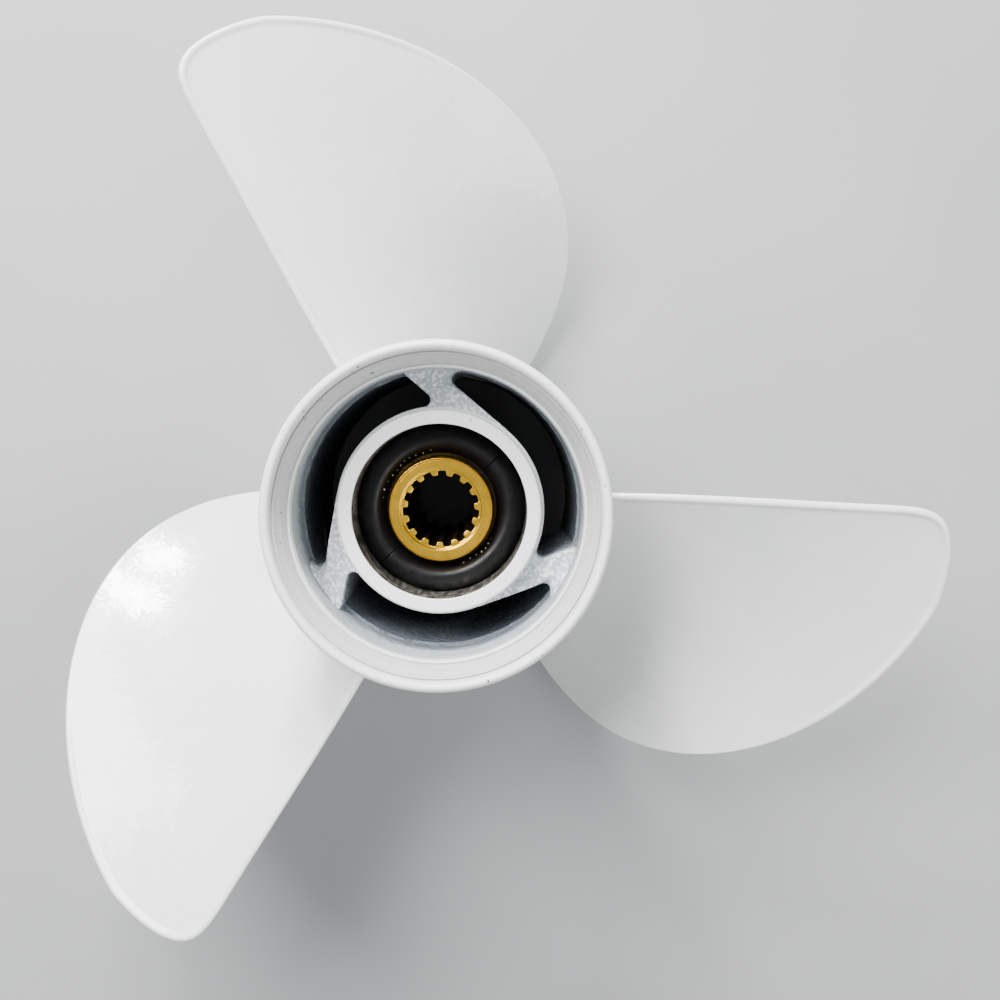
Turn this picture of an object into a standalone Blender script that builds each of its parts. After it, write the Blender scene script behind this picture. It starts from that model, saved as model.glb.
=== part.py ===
"""Boat propeller with three right-hand blades on an exhaust-through hub, and a rubber-cushioned spline.

Frame: metres, +Z is the shaft axis and points aft, and the origin is on that axis in the plane of the
barrel's forward end, which the propeller stands on. Blade 1 points roughly along +Y.
The painted casting is one piece of aluminium. It is split here into barrel, ring, hub, ribs and blades,
which keep a small gap to each other and move as one body. The brass sleeve turns against the rubber.
"""

import math

import bmesh
import bpy

# Overall size: 13 1/4 in diameter by 17 in pitch.
TIP_RADIUS = 0.1683
PITCH = 0.4318
HUB_LENGTH = 0.124
BLADE_COUNT = 3
GAP = 0.0003
TURNED_SEGMENTS = 60

# Outer barrel: a tube with a slight waist, flared towards its aft end.
BARREL_WAIST_RADIUS = 0.0515
BARREL_FORWARD_RADIUS = 0.0530
BARREL_FORWARD_TAPER_LENGTH = 0.070
BARREL_RIM_RADIUS = 0.0552
BARREL_FLARE_START = 0.080
BARREL_BORE_RADIUS = 0.0468
BARREL_MOUTH_RADIUS = 0.0476
BARREL_OUTER_STEPS = 8
CHAMFER = 0.0007

# Diffuser ring: the turned aft end of the barrel, with a cone inside and a rounded lip.
RING_LENGTH = 0.0105
RING_THROAT_RADIUS = 0.0471
LIP_INNER_RADIUS = 0.0518
LIP_HEIGHT = 0.0024
LIP_STEPS = 6

# Inner hub: the tube that holds the rubber. Its aft end is turned, and its forward end has a shoulder.
HUB_RADIUS = 0.0350
HUB_TURNED_RADIUS = 0.0337
HUB_BORE_RADIUS = 0.02907
HUB_AFT_Z = 0.0992
HUB_FORWARD_Z = 0.010
HUB_SHOULDER_THICKNESS = 0.006
HUB_SHOULDER_RADIUS = 0.024

# Ribs: flat spokes, whose outer side is tangent to the hub.
RIB_OUTER_OFFSET = HUB_RADIUS + GAP
RIB_INNER_OFFSET = 0.0269
RIB_NORMAL_ANGLE = math.radians(49.5)
RIB_TANGENT_CUT_ANGLE = math.radians(13.0)
RIB_AFT_Z = 0.092
RIB_FORWARD_Z = 0.022
RIB_ARC_STEPS = 5

# Blades: angles are about the shaft axis, for blade 1.
BLADE_TIP_ANGLE = math.radians(109.4)
LEADING_SWEEP = math.radians(52.6)
LEADING_FULLNESS = 4.15
LEADING_POWER = 0.85
TRAILING_ANGLE = math.radians(11.4)
TRAILING_ROOT_ANGLE = math.radians(4.5)
TRAILING_STRAIGHTNESS = 1.9
TRAILING_CORNER_SHARPNESS = 37.0
BLADE_REFERENCE_ANGLE = math.radians(120.0)
BLADE_REFERENCE_RADIUS = 0.055
BLADE_REFERENCE_Z = 0.0885
RAKE_SLOPE = 0.233
LEADING_DROOP = 0.0078
LEADING_DROOP_RADIUS = 0.0775
LEADING_DROOP_WIDTH = 0.030
EDGE_THICKNESS = 0.0018
TIP_THICKNESS = 0.0026
ROOT_THICKNESS = 0.0125
THICKNESS_TAPER = 1.4
BLADE_SPAN_STEPS = 16
BLADE_CHORD_STEPS = 12

# Damper bush: rubber between hub and sleeve, with a rounded bead at its aft end.
BUSH_AFT_EDGE_Z = 0.0795
BUSH_CREST_Z = 0.084
BUSH_CREST_RADIUS = 0.0237
BUSH_VALLEY_Z = 0.0775
BUSH_FORWARD_ROUND = 0.003
BUSH_BEAD_STEPS = 6

# Splined sleeve: brass, with a 15-tooth internal spline that is open at both ends.
SLEEVE_RADIUS = 0.01778
SLEEVE_AFT_Z = 0.0871
SLEEVE_FORWARD_Z = 0.012
SPLINE_TEETH = 15
SPLINE_START_ANGLE = math.radians(4.0)
SPLINE_MINOR_RADIUS = 0.0113
SPLINE_MAJOR_RADIUS = 0.0130
SPLINE_TIP_HALF_WIDTH = 0.17
SPLINE_SPACE_HALF_WIDTH = 0.21
COUNTERBORE_RADIUS = 0.0139
COUNTERBORE_DEPTH = 0.0018

# Colours: red, green, blue, then roughness and metallic value.
WHITE_PAINT = (0.78, 0.79, 0.78, 0.35, 0.0)
BLACK_RUBBER = (0.012, 0.012, 0.013, 0.55, 0.0)
BRASS = (0.86, 0.62, 0.22, 0.30, 1.0)


def clear_scene():
    for obj in list(bpy.data.objects):
        bpy.data.objects.remove(obj, do_unlink=True)


def make_material(name, finish):
    red, green, blue, roughness, metallic = finish
    material = bpy.data.materials.new(name)
    material.use_nodes = True
    shader = material.node_tree.nodes["Principled BSDF"]
    shader.inputs["Base Color"].default_value = (red, green, blue, 1.0)
    shader.inputs["Roughness"].default_value = roughness
    shader.inputs["Metallic"].default_value = metallic
    material.diffuse_color = (red, green, blue, 1.0)
    return material


def add_object(name, bm, finish, parent, smooth=True):
    """Turns a bmesh into an object with its own material under a parent."""
    mesh = bpy.data.meshes.new(name)
    bm.to_mesh(mesh)
    bm.free()
    if smooth:
        mesh.shade_smooth()
    mesh.materials.append(make_material(name + "_finish", finish))
    obj = bpy.data.objects.new(name, mesh)
    bpy.context.scene.collection.objects.link(obj)
    obj.parent = parent
    return obj


def add_empty(name):
    """An empty on the shaft axis, which its children turn with."""
    empty = bpy.data.objects.new(name, None)
    bpy.context.scene.collection.objects.link(empty)
    return empty


def add_turned(name, outline, finish, parent):
    """Turns a closed outline of (radius, z) about the shaft axis. It runs down its outer side."""
    bm = bmesh.new()
    corners = [bm.verts.new((radius, 0.0, z)) for radius, z in outline]
    for first, second in zip(corners, corners[1:] + corners[:1]):
        bm.edges.new((first, second))
    obj = add_object(name, bm, finish, parent)
    screw = obj.modifiers.new("turn", "SCREW")
    screw.axis = "Z"
    screw.steps = TURNED_SEGMENTS
    screw.render_steps = TURNED_SEGMENTS
    screw.use_merge_vertices = True
    screw.merge_threshold = 0.00001
    screw.use_smooth_shade = True
    return obj


def arc(centre_radius, centre_z, half_width, half_height, start, end, steps):
    """Points of an elliptical arc in the (radius, z) plane, between two angles in degrees."""
    points = []
    for step in range(steps + 1):
        angle = math.radians(start + (end - start) * step / steps)
        radius = centre_radius + half_width * math.cos(angle)
        points.append((radius, centre_z + half_height * math.sin(angle)))
    return points


def barrel_radius(z):
    """Outer radius of the casting at a height z: wider at the forward end, flared at the aft end."""
    forward = max(0.0, 1.0 - z / BARREL_FORWARD_TAPER_LENGTH)
    aft = max(0.0, (z - BARREL_FLARE_START) / (HUB_LENGTH - BARREL_FLARE_START))
    widening = (BARREL_FORWARD_RADIUS - BARREL_WAIST_RADIUS) * forward**2
    flare = (BARREL_RIM_RADIUS - BARREL_WAIST_RADIUS) * aft**2
    return BARREL_WAIST_RADIUS + widening + flare


def add_outer_barrel(parent):
    aft_z = HUB_LENGTH - RING_LENGTH - GAP
    outline = [(RING_THROAT_RADIUS, aft_z)]
    for step in range(BARREL_OUTER_STEPS + 1):
        z = aft_z + (CHAMFER - aft_z) * step / BARREL_OUTER_STEPS
        outline.append((barrel_radius(z), z))
    outline.append((BARREL_FORWARD_RADIUS - CHAMFER, 0.0))
    outline.append((BARREL_MOUTH_RADIUS, 0.0))
    mouth_depth = BARREL_MOUTH_RADIUS - BARREL_BORE_RADIUS
    outline.append((BARREL_BORE_RADIUS, mouth_depth))
    outline.append((BARREL_BORE_RADIUS, aft_z - 2 * CHAMFER))
    return add_turned("outer_barrel", outline, WHITE_PAINT, parent)


def add_diffuser_ring(parent):
    forward_z = HUB_LENGTH - RING_LENGTH
    lip_centre = 0.5 * (LIP_INNER_RADIUS + BARREL_RIM_RADIUS)
    lip_half_width = 0.5 * (BARREL_RIM_RADIUS - LIP_INNER_RADIUS)
    lip_z = HUB_LENGTH - LIP_HEIGHT
    outline = [(RING_THROAT_RADIUS, forward_z)]
    outline += arc(lip_centre, lip_z, lip_half_width, LIP_HEIGHT, 180.0, 0.0, LIP_STEPS)
    outline.append((barrel_radius(0.5 * (lip_z + forward_z)), 0.5 * (lip_z + forward_z)))
    outline.append((barrel_radius(forward_z), forward_z))
    return add_turned("diffuser_ring", outline, WHITE_PAINT, parent)


def add_inner_hub(parent):
    shoulder_z = HUB_FORWARD_Z + HUB_SHOULDER_THICKNESS
    outline = [
        (HUB_BORE_RADIUS, HUB_AFT_Z),
        (HUB_TURNED_RADIUS - CHAMFER, HUB_AFT_Z),
        (HUB_TURNED_RADIUS, HUB_AFT_Z - CHAMFER),
        (HUB_TURNED_RADIUS, RIB_AFT_Z + CHAMFER),
        (HUB_RADIUS, RIB_AFT_Z),
        (HUB_RADIUS, HUB_FORWARD_Z + CHAMFER),
        (HUB_RADIUS - CHAMFER, HUB_FORWARD_Z),
        (HUB_SHOULDER_RADIUS, HUB_FORWARD_Z),
        (HUB_SHOULDER_RADIUS, shoulder_z),
        (HUB_BORE_RADIUS, shoulder_z),
    ]
    return add_turned("inner_hub", outline, WHITE_PAINT, parent)


def rib_outline(turn):
    """Corners of a rib's section in the XY plane: two parallel sides between two arcs."""
    outer_arc = BARREL_BORE_RADIUS - GAP
    inner_arc = HUB_RADIUS + GAP
    long_end = math.acos(RIB_OUTER_OFFSET / outer_arc)
    short_end = math.acos(RIB_INNER_OFFSET / outer_arc)
    short_start = math.acos(RIB_INNER_OFFSET / inner_arc)
    cut_radius = RIB_OUTER_OFFSET / math.cos(RIB_TANGENT_CUT_ANGLE)
    polar = [(cut_radius, RIB_TANGENT_CUT_ANGLE)]
    for step in range(RIB_ARC_STEPS + 1):
        polar.append((outer_arc, long_end + (short_end - long_end) * step / RIB_ARC_STEPS))
    for step in range(RIB_ARC_STEPS + 1):
        angle = short_start + (RIB_TANGENT_CUT_ANGLE - short_start) * step / RIB_ARC_STEPS
        polar.append((inner_arc, angle))
    points = []
    for radius, angle in polar:
        whole = RIB_NORMAL_ANGLE + turn + angle
        points.append((radius * math.cos(whole), radius * math.sin(whole)))
    return points


def add_rib(number, parent):
    turn = 2 * math.pi * (number - 1) / BLADE_COUNT
    bm = bmesh.new()
    corners = [bm.verts.new((x, y, RIB_FORWARD_Z)) for x, y in rib_outline(turn)]
    forward_face = bm.faces.new(corners)
    extruded = bmesh.ops.extrude_face_region(bm, geom=[forward_face])
    raised = [item for item in extruded["geom"] if isinstance(item, bmesh.types.BMVert)]
    bmesh.ops.translate(bm, verts=raised, vec=(0.0, 0.0, RIB_AFT_Z - RIB_FORWARD_Z))
    bmesh.ops.recalc_face_normals(bm, faces=bm.faces)
    return add_object(f"rib_{number}", bm, WHITE_PAINT, parent, smooth=False)


def leading_angle(radius):
    """Angle of the rounded leading edge: swept back more and more towards the tip."""
    fullness = 1.0 - (radius / TIP_RADIUS) ** LEADING_FULLNESS
    return BLADE_TIP_ANGLE - LEADING_SWEEP * max(0.0, fullness) ** LEADING_POWER


def trailing_angle(radius):
    """Angle of the trailing edge: almost straight, with a rounded corner at the tip."""
    share = (TIP_RADIUS - radius) / (TIP_RADIUS - BARREL_WAIST_RADIUS)
    root = TRAILING_ROOT_ANGLE * max(0.0, share) ** TRAILING_STRAIGHTNESS
    corner = 1.0 - (radius / TIP_RADIUS) ** TRAILING_CORNER_SHARPNESS
    return BLADE_TIP_ANGLE + (TRAILING_ANGLE + root) * math.sqrt(max(0.0, corner))


def blade_thickness(span, chord):
    """Thickness at a share of the span and of the chord: a cambered back on a plain face."""
    crown = TIP_THICKNESS + (ROOT_THICKNESS - TIP_THICKNESS) * (1.0 - span) ** THICKNESS_TAPER
    fade = 1.0 - span**8
    return EDGE_THICKNESS + (crown - EDGE_THICKNESS) * fade * math.sin(math.pi * chord)


def blade_section(radius, span, chord, depth):
    """Angle and height of a point in the blade at a radius. Depth is 0 on its aft face, 1 on its back."""
    leading = leading_angle(radius)
    angle = leading + (trailing_angle(radius) - leading) * chord
    z = BLADE_REFERENCE_Z + RAKE_SLOPE * (radius - BLADE_REFERENCE_RADIUS)
    z += PITCH * (angle - BLADE_REFERENCE_ANGLE) / (2 * math.pi)
    distance = (radius - LEADING_DROOP_RADIUS) / LEADING_DROOP_WIDTH
    z -= LEADING_DROOP * math.exp(-(distance**2)) * (1.0 - chord) ** 2
    slope = math.atan2(PITCH, 2 * math.pi * radius)
    thickness = blade_thickness(span, chord) * depth
    return angle + thickness * math.sin(slope) / radius, z - thickness * math.cos(slope)


def blade_point(span, chord, depth, turn):
    """A point of the blade. Its root follows the barrel, a gap away."""
    radius = BARREL_WAIST_RADIUS
    for _ in range(6):
        angle, z = blade_section(radius, span, chord, depth)
        root = barrel_radius(z) + GAP
        radius = root + (TIP_RADIUS - root) * span
    angle, z = blade_section(radius, span, chord, depth)
    return radius * math.cos(angle + turn), radius * math.sin(angle + turn), z


def blade_row(bm, span, depth, turn):
    """Vertices from the leading edge to the trailing edge at a share of the span."""
    chords = [column / BLADE_CHORD_STEPS for column in range(BLADE_CHORD_STEPS + 1)]
    return [bm.verts.new(blade_point(span, chord, depth, turn)) for chord in chords]


def join_rows(bm, first, second):
    for column in range(len(first) - 1):
        bm.faces.new((first[column], first[column + 1], second[column + 1], second[column]))


def add_blade(number, parent):
    turn = 2 * math.pi * (number - 1) / BLADE_COUNT
    steps = range(BLADE_SPAN_STEPS + 1)
    spans = [math.sin(0.5 * math.pi * step / BLADE_SPAN_STEPS) for step in steps]
    bm = bmesh.new()
    face = [blade_row(bm, span, 0.0, turn) for span in spans]
    back = [blade_row(bm, span, 1.0, turn) for span in spans]
    root_middle = blade_row(bm, 0.0, 0.5, turn)
    for row in range(BLADE_SPAN_STEPS):
        join_rows(bm, face[row], face[row + 1])
        join_rows(bm, back[row], back[row + 1])
        for end in (0, -1):
            rim = [face[row][end], face[row + 1][end], back[row + 1][end], back[row][end]]
            if row == 0:
                rim.append(root_middle[end])
            bm.faces.new(rim)
    join_rows(bm, face[0], root_middle)
    join_rows(bm, root_middle, back[0])
    bmesh.ops.remove_doubles(bm, verts=bm.verts, dist=0.000001)
    bmesh.ops.recalc_face_normals(bm, faces=bm.faces)
    blade = add_object(f"blade_{number}", bm, WHITE_PAINT, parent)
    blade.data.set_sharp_from_angle(angle=math.radians(50.0))
    return blade


def add_damper_bush(parent):
    outer = HUB_BORE_RADIUS - GAP
    inner = SLEEVE_RADIUS + GAP
    forward_z = HUB_FORWARD_Z + HUB_SHOULDER_THICKNESS + GAP
    rise = BUSH_CREST_Z - BUSH_AFT_EDGE_Z
    outline = [(inner, BUSH_VALLEY_Z)]
    inner_half = BUSH_CREST_RADIUS - inner - 0.001
    outline += arc(BUSH_CREST_RADIUS, BUSH_AFT_EDGE_Z, inner_half, rise, 180.0, 90.0, BUSH_BEAD_STEPS)
    outer_half = outer - BUSH_CREST_RADIUS
    bead = arc(BUSH_CREST_RADIUS, BUSH_AFT_EDGE_Z, outer_half, rise, 90.0, 0.0, BUSH_BEAD_STEPS)
    outline += bead[1:]
    outline.append((outer, forward_z + BUSH_FORWARD_ROUND))
    outline.append((outer - BUSH_FORWARD_ROUND, forward_z))
    outline.append((inner, forward_z))
    return add_turned("damper_bush", outline, BLACK_RUBBER, parent)


def spline_outline():
    """Corners of the spline's cross-section: flat-topped spaces between flat-topped teeth."""
    pitch_angle = 2 * math.pi / SPLINE_TEETH
    tip = SPLINE_TIP_HALF_WIDTH
    space = 0.5 - SPLINE_SPACE_HALF_WIDTH
    inside = SPLINE_MINOR_RADIUS - GAP
    points = []
    for tooth in range(SPLINE_TEETH):
        for share, radius in (
            (-tip, inside),
            (tip, inside),
            (space, SPLINE_MAJOR_RADIUS),
            (1.0 - space, SPLINE_MAJOR_RADIUS),
        ):
            angle = SPLINE_START_ANGLE + pitch_angle * (tooth + share)
            points.append((radius * math.cos(angle), radius * math.sin(angle)))
    return points


def add_spline_cutter(parent):
    bm = bmesh.new()
    start = SLEEVE_FORWARD_Z - COUNTERBORE_DEPTH
    length = SLEEVE_AFT_Z + COUNTERBORE_DEPTH - start
    corners = [bm.verts.new((x, y, start)) for x, y in spline_outline()]
    end_face = bm.faces.new(corners)
    extruded = bmesh.ops.extrude_face_region(bm, geom=[end_face])
    raised = [item for item in extruded["geom"] if isinstance(item, bmesh.types.BMVert)]
    bmesh.ops.translate(bm, verts=raised, vec=(0.0, 0.0, length))
    bmesh.ops.recalc_face_normals(bm, faces=bm.faces)
    cutter = add_object("spline_cutter", bm, BRASS, parent, smooth=False)
    cutter.hide_render = True
    cutter.display_type = "WIRE"
    return cutter


def add_splined_sleeve(parent):
    outline = [
        (COUNTERBORE_RADIUS, SLEEVE_AFT_Z),
        (SLEEVE_RADIUS - CHAMFER, SLEEVE_AFT_Z),
        (SLEEVE_RADIUS, SLEEVE_AFT_Z - CHAMFER),
        (SLEEVE_RADIUS, SLEEVE_FORWARD_Z + CHAMFER),
        (SLEEVE_RADIUS - CHAMFER, SLEEVE_FORWARD_Z),
        (COUNTERBORE_RADIUS, SLEEVE_FORWARD_Z),
        (SPLINE_MINOR_RADIUS, SLEEVE_FORWARD_Z + COUNTERBORE_DEPTH),
        (SPLINE_MINOR_RADIUS, SLEEVE_AFT_Z - COUNTERBORE_DEPTH),
    ]
    sleeve = add_turned("splined_sleeve", outline, BRASS, parent)
    cut = sleeve.modifiers.new("spline", "BOOLEAN")
    cut.operation = "DIFFERENCE"
    cut.object = add_spline_cutter(parent)
    return sleeve


def main():
    clear_scene()
    casting_axis = add_empty("casting_axis")
    sleeve_axis = add_empty("sleeve_axis")
    sleeve_axis.parent = casting_axis
    add_outer_barrel(casting_axis)
    add_diffuser_ring(casting_axis)
    add_inner_hub(casting_axis)
    for number in range(1, BLADE_COUNT + 1):
        add_rib(number, casting_axis)
        add_blade(number, casting_axis)
    add_damper_bush(casting_axis)
    add_splined_sleeve(sleeve_axis)


main()
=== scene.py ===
import math

import bpy
import numpy as np
from mathutils import Matrix, Vector, noise


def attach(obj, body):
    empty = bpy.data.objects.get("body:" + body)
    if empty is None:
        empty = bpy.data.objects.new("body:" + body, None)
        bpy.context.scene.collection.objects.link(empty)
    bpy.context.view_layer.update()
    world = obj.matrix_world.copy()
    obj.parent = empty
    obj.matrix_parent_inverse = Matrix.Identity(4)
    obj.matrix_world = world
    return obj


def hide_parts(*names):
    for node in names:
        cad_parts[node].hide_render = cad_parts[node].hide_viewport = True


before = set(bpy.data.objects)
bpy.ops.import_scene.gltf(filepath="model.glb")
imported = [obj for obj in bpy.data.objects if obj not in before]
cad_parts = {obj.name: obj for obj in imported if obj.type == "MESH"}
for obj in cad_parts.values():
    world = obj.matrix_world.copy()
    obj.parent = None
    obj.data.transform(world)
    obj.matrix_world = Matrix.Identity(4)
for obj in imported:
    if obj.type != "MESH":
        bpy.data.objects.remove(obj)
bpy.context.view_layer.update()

BLADE_COUNT = 3
TURN = 2 * math.pi / BLADE_COUNT
OVERLAP = 0.0005  # how far the end of one white skin reaches into the next

# Outer barrel and its turned aft ring
HUB_LENGTH = 0.124
BARREL_WAIST_RADIUS = 0.0515
BARREL_FORWARD_RADIUS = 0.0530
BARREL_FORWARD_TAPER_LENGTH = 0.070
BARREL_RIM_RADIUS = 0.0552
BARREL_FLARE_START = 0.080
BARREL_MOUTH_RADIUS = 0.0476
BARREL_WALL_RADIUS = 0.0469
MOUTH_ROUND = 0.0012
LIP_BASE_Z = 0.1216
LIP_OUTER_RADIUS = 0.0552
LIP_INNER_RADIUS = 0.0518
CONE_OUTER_RADIUS = 0.0512
CONE_OUTER_Z = 0.1211
GROOVE_DEPTH = 0.0009  # the turned line between the lip and the cone
CONE_STEP_RADIUS = 0.0494
CONE_STEP_Z = 0.11745
CONE_STEP_WIDTH = 0.0002
CONE_STEP_FALL = 0.0003
CONE_INNER_RADIUS = 0.0482
CONE_INNER_Z = 0.1143
LAND_Z = 0.1137  # the narrow flat between the cone and the wall
LAND_LINE_WIDTH = 0.0005
LAND_LINE_DEPTH = 0.0002
LAND_HEIGHT = 0.0001
WALL_STEP = 0.00025  # the wall is this much wider next to the land
WALL_STEP_Z = 0.1118
WALL_Z = 0.1114
CAST_WALL_Z = 0.1085  # the wall in the darker, painted-shade copy of the white paint ends here
MOUTH_TAPER_Z = 0.040
MOUTH_LAND_Z = 0.003
MACHINED_Z = 0.1015  # the lathe reached to here, at a ragged line
RAGGED_RISE = 0.0035
RAGGED_WIDTH = 0.020
CHIPPED_RISE = 0.0012
CHIPPED_WIDTH = 0.0030
CAST_STEP_Z = 0.0825
CAST_STEP_RISE = 0.0020
CAST_STEP_WIDTH = 0.018
CAST_SINK = 0.0006
CAST_RIDGE = 0.0008
CAST_RIDGE_WIDTH = 0.0011
CAST_LUMPS = ((0.00016, 0.0035, 11.0), (0.00007, 0.0014, 17.0))  # depth, size, seed
BARREL_STATIONS = 300

# Inner hub
HUB_RADIUS = 0.0350
HUB_FORWARD_RADIUS = 0.0353
HUB_TURNED_RADIUS = 0.0337
HUB_SHOULDER_Z = 0.0920
HUB_AFT_Z = 0.0992
HUB_FORWARD_Z = 0.010
HUB_BORE_RADIUS = 0.02907
HUB_SHOULDER_RADIUS = 0.024
HUB_SHOULDER_THICKNESS = 0.006
HUB_SHOULDER_LAND = 0.0015
HUB_FACE_Z = 0.0880  # the hub's outside is turned aft of this
HUB_TAPER_Z = 0.020
HUB_TURNED_DRAFT = 0.00015
HUB_LINE_RADIUS = 0.0300  # a line scribed on the hub's end
HUB_LINE_HALF_WIDTH = 0.0001
HUB_LINE_DEPTH = 0.00012
HUB_PAINTED_BORE = 0.0012  # the bore is painted to this depth
HUB_LUMP_DEPTH = 0.00010
HUB_LUMP_SIZE = 0.0040
HUB_STATIONS = 240

# Ribs, each in the frame of its own normal
RIB_NORMAL_ANGLE = math.radians(49.5)
RIB_LONG_OFFSET = 0.0351
RIB_SHORT_OFFSET = 0.0269
RIB_LONG_FILLET = 0.0025
RIB_SHORT_FILLET = 0.0024
RIB_FORWARD_Z = 0.022
RIB_EDGE_ROUND = 0.0008
RIB_CORNER_ROUND = 0.0040  # the long side opens wider at the barrel
RIB_CORNER_START = 0.45
RIB_CORNER_END = 0.82
RIB_WALL_FILLET = 0.0030
RIB_LUMP_DEPTH = 0.00010
RIB_LUMP_SIZE = 0.0035
RIB_ACROSS = 40
RIB_CROWDING = 0.90
RIB_LEVELS = 20

# Blades
TIP_RADIUS = 0.1683
PITCH = 0.4318
BLADE_TIP_ANGLE = math.radians(109.4)
LEADING_SWEEP = math.radians(52.6)
LEADING_FULLNESS = 4.15
LEADING_POWER = 0.85
TRAILING_ANGLE = math.radians(11.4)
TRAILING_ROOT_ANGLE = math.radians(4.5)
TRAILING_STRAIGHTNESS = 1.9
TRAILING_CORNER_SHARPNESS = 37
BLADE_REFERENCE_ANGLE = math.radians(120)
BLADE_REFERENCE_RADIUS = 0.055
BLADE_REFERENCE_Z = 0.0885
RAKE_SLOPE = 0.233
LEADING_DROOP = 0.0078
LEADING_DROOP_RADIUS = 0.0775
LEADING_DROOP_WIDTH = 0.030
EDGE_THICKNESS = 0.0018
TIP_THICKNESS = 0.0026
ROOT_THICKNESS = 0.0125
THICKNESS_TAPER = 1.4
ROOT_FILLET = 0.0060
EDGE_ROUND = 0.0009
TRAILING_LIP_HEIGHT = 0.00042
TRAILING_LIP_WIDTH = 0.0032
LIP_CHORD_RANGE = (0.45, 0.62)  # where the lip starts and is full, as shares of the chord
LIP_TIP_RANGE = (0.80, 0.93)  # and of the span, where it goes round the tip
LIP_ROOT_RANGE = (0.02, 0.10)
STREAKED_BLADE = 2  # its paint shows the dressing marks under it
BLADE_SPAN_STEPS = 120
BLADE_CHORD_STEPS = 100

# Rubber bush and brass sleeve
BUSH_OUTER_RADIUS = 0.0289
BUSH_INNER_RADIUS = 0.0180
BUSH_AFT_EDGE_Z = 0.0795
BUSH_CREST_RADIUS = 0.0237
BUSH_CREST_Z = 0.0840
BUSH_VALLEY_RADIUS = 0.0190
BUSH_VALLEY_Z = 0.0775
BUSH_FORWARD_Z = 0.0185
BUSH_LIP_DROP = 0.0002
BUSH_INNER_ROUND = 0.0006
BUSH_OUTER_ROUND = 0.0030
BUSH_STATIONS = 220
PARTING_ANGLES = (math.radians(42), math.radians(222))
PARTING_WIDTH = 0.00022
PARTING_DEPTH = 0.00055
NIB_ROWS = ((100, 168, 11), (292, 330, 7))  # first angle, last angle, count
NIB_RADIUS = 0.0203
NIB_SIZE = 0.00030
NIB_ROOT = 0.0012
NIB_SIDES = 10
NIB_RINGS = 4
SLEEVE_RADIUS = 0.01778
SLEEVE_AFT_Z = 0.0871
SLEEVE_FORWARD_Z = 0.012
SPLINE_TEETH = 15
SPLINE_START_ANGLE = math.radians(4)
SPLINE_MINOR_RADIUS = 0.0113
SPLINE_MAJOR_RADIUS = 0.0130
SPLINE_TIP_SHARE = 0.17
SPLINE_SPACE_SHARE = 0.21
SPLINE_TIP_DOME = 0.00012
SPLINE_LEAD_IN = 0.00035
SPLINE_FACE_DEPTH = 0.00025  # the turned brass reaches this far into the spline, painted shade beyond
COUNTERBORE_RADIUS = 0.0139
COUNTERBORE_DEPTH = 0.0018
COUNTERBORE_SLOPE = 0.0002
SPLINE_CLEARANCE = 0.0004
SLEEVE_FORWARD_CHAMFER = 0.0006
SLEEVE_AFT_CHAMFER = 0.0004
SLEEVE_AFT_CHAMFER_FALL = 0.0005
SLEEVE_LINE_INSET = 0.0008  # a fine turned line near the sleeve's rim
SLEEVE_LINE_HALF_WIDTH = 0.0001
SLEEVE_LINE_DEPTH = 0.00030

# Camera: where the photographer's eye was, in the frame of the propeller
CAMERA_PLACE = (0.01639, 0.03000, 0.49273)
CAMERA_TILT = math.radians(3.79)
CAMERA_YAW = math.radians(0.53)
CAMERA_LENS = 43.06  # mm

# Area lights as (name, place, aim, width, height, watts). The two windows make the bright patches on
# the lower left blade.
OBJECT_MIDDLE = (0.0, 0.0, 0.08)
LIGHTS = (
    ("key", (-0.55, 0.75, 1.25), OBJECT_MIDDLE, 0.8, 0.7, 42.0),
    ("fill", (0.8, -0.5, 1.1), OBJECT_MIDDLE, 1.0, 1.0, 12.0),
    ("window_left", (-0.24, 0.86, 0.64), (-0.11, -0.03, 0.05), 0.13, 0.20, 15.0),
    ("window_right", (-0.08, 0.93, 0.50), (-0.10, -0.02, 0.04), 0.13, 0.20, 15.0),
)
SKY_COLOUR = (0.95, 0.97, 1.0, 1.0)
SKY_STRENGTH = 0.50
FLOOR_HALF_SIDE = 15.0


# ---------------------------------------------------------------- mesh helpers

def round_share(distance, radius):
    """Height of a round edge, as a share of its radius, at a distance in from the edge."""
    inside = np.clip(distance / radius, 0.0, 1.0)
    return np.sqrt(1.0 - (1.0 - inside) ** 2)


def fillet_rise(distance, radius):
    """Height of a fillet of this radius above a flat, at a distance from the wall it climbs."""
    inside = np.clip(distance, 0.0, radius)
    return radius - np.sqrt(radius**2 - (radius - inside) ** 2)


def smooth_step(value, low, high):
    share = np.clip((value - low) / (high - low), 0.0, 1.0)
    return share * share * (3.0 - 2.0 * share)


def crowded(count, strength=0.93):
    """Places from 0 to 1, crowded towards both ends."""
    even = np.linspace(0.0, 1.0, count + 1)
    return even - strength * np.sin(2 * math.pi * even) / (2 * math.pi)


def bumps(points, size, seed):
    """Smooth noise from -1 to 1 at each point, with bumps of about this size."""
    shift = Vector((seed, 0.7 * seed, 0.0))
    flat = points.reshape(-1, 3) / size
    values = [noise.noise(Vector(point) + shift) for point in flat]
    return np.array(values).reshape(points.shape[:-1])


def cartesian(radius, angle, z):
    return np.stack([radius * np.cos(angle), radius * np.sin(angle), z], axis=-1)


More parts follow.
